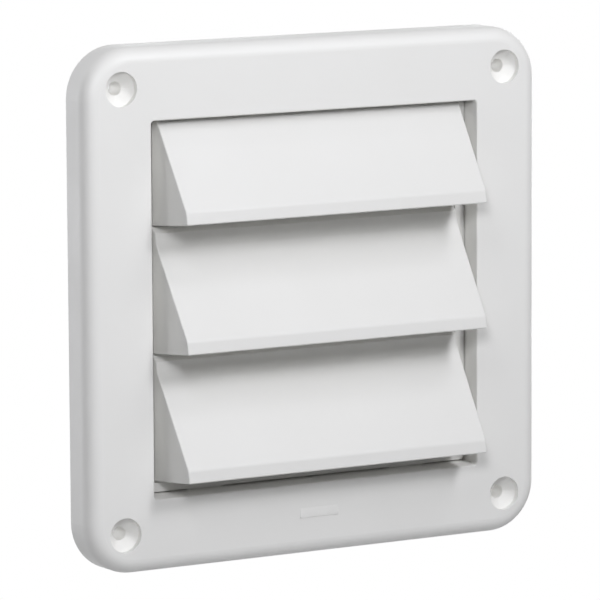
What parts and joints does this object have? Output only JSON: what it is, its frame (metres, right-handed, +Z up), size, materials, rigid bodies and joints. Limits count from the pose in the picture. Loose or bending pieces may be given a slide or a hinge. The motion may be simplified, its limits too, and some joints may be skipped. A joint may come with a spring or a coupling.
{
  "type": "louvered vent",
  "caption": "Square wall vent: rounded flange with countersunk screw holes, recessed frame of sloping lipped louvers that swing open, and a round duct collar behind.",
  "frame": {"origin": "centre of the flange on the wall plane, on the duct's axis", "axes": "+Z up the wall, +Y through the wall along the duct, front face towards -Y"},
  "size_m": [0.1564, 0.0626, 0.1564],
  "materials": {
    "body_plastic": "satin moulded white",
    "louver_plastic": "satin moulded white"
  },
  "bodies": {
    "vent": {"vent_body": "body_plastic", "louver_frame": "louver_plastic"},
    "top_louver": {"top_louver": "louver_plastic"},
    "middle_louver": {"middle_louver": "louver_plastic"},
    "bottom_louver": {"bottom_louver": "louver_plastic"}
  },
  "joints": [
    {"name": "top_louver_hinge", "type": "hinge", "parent": "vent", "child": "top_louver", "pos_m": [0, -0.003, 0.0531], "axis": [-1, 0, 0], "range_deg": [0, 35]},
    {"name": "middle_louver_hinge", "type": "hinge", "parent": "vent", "child": "middle_louver", "pos_m": [0, -0.003, 0.02285], "axis": [-1, 0, 0], "range_deg": [0, 35]},
    {"name": "bottom_louver_hinge", "type": "hinge", "parent": "vent", "child": "bottom_louver", "pos_m": [0, -0.003, -0.0154], "axis": [-1, 0, 0], "range_deg": [0, 35]}
  ]
}
